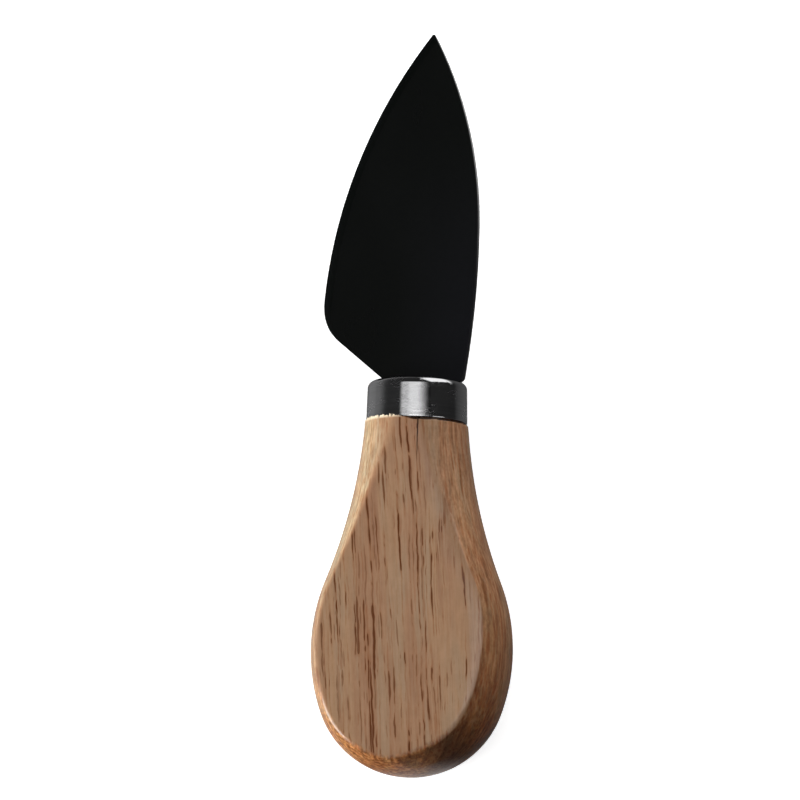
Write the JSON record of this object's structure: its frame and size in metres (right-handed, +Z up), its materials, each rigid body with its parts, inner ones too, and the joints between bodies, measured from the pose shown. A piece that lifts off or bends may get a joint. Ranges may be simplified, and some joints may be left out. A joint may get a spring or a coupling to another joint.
{
  "type": "cheese knife",
  "caption": "Small pointed hard-cheese knife: black-coated blade with a curved belly, polished steel ferrule, and a pear-shaped turned wooden handle with two flats.",
  "frame": {"origin": "on the surface that the knife lies on, under the middle of its length, below the handle's axis", "axes": "+X across the blade towards its spine, +Y along the handle's axis towards the tip, +Z up, square to the blade's faces"},
  "size_m": [0.0346, 0.13, 0.0176],
  "materials": {
    "blade_coating": "satin black non-stick coating on steel",
    "ferrule_steel": "polished",
    "handle_wood": "satin lacquer over open grain",
    "epoxy": "cured adhesive"
  },
  "bodies": {
    "root": {"blade": "blade_coating", "ferrule": "ferrule_steel", "handle": "handle_wood", "tang_adhesive": "epoxy"}
  },
  "joints": []
}
